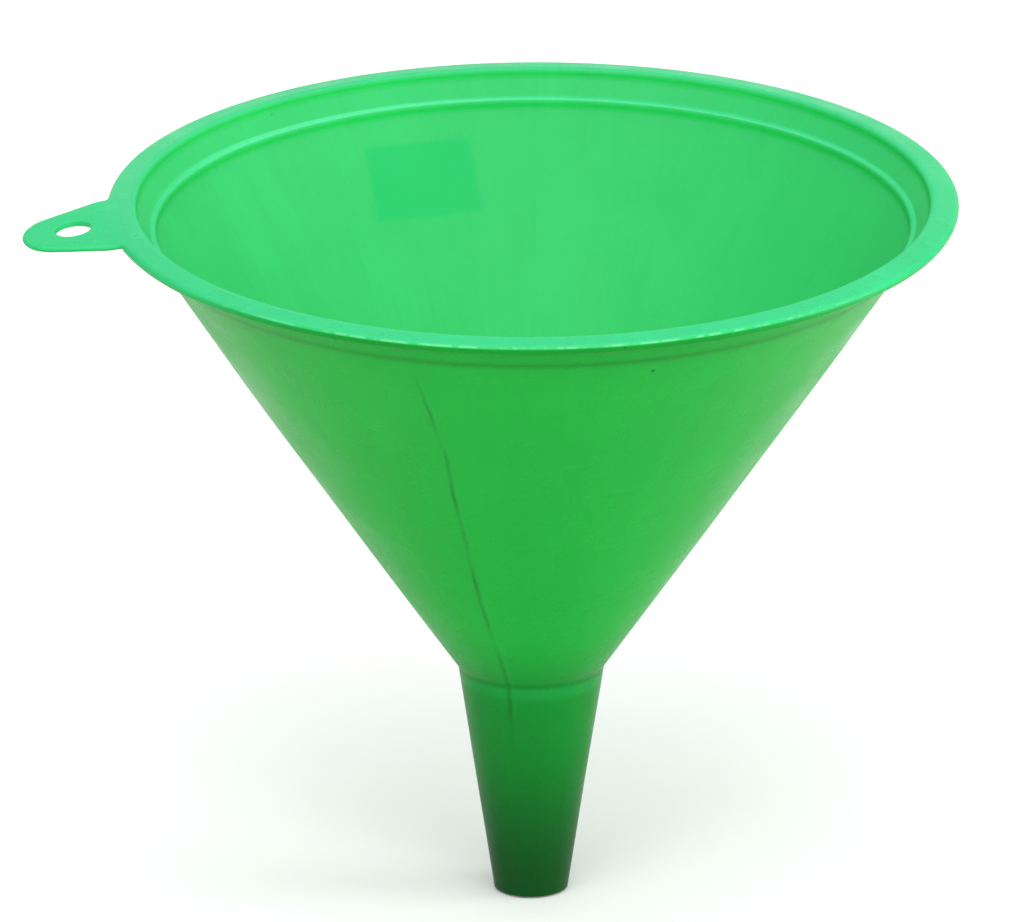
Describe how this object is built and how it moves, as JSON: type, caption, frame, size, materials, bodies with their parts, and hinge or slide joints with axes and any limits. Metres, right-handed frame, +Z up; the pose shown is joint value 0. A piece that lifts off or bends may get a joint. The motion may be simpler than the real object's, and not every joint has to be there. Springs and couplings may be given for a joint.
{
  "type": "funnel",
  "caption": "Round plastic pouring funnel: wide conical bowl, flat rim flange with a hanging tab, inner ledge and tapered spout.",
  "frame": {"origin": "centre of the spout's end face, on the funnel's axis", "axes": "+Z up the funnel's axis, from the spout to the rim; the hanging tab points along -X, turned 7 degrees towards -Y"},
  "size_m": [0.2194, 0.2, 0.17],
  "materials": {
    "green_plastic": "satin moulded polypropylene, translucent green, smooth inside, faintly streaked outside",
    "label_paper": "matt white paper, blank"
  },
  "bodies": {
    "root": {"rim_flange": "green_plastic", "hang_tab": "green_plastic", "collar": "green_plastic", "ledge_ring": "green_plastic", "cone": "green_plastic", "throat_ring": "green_plastic", "spout": "green_plastic", "label": "label_paper"}
  },
  "joints": []
}
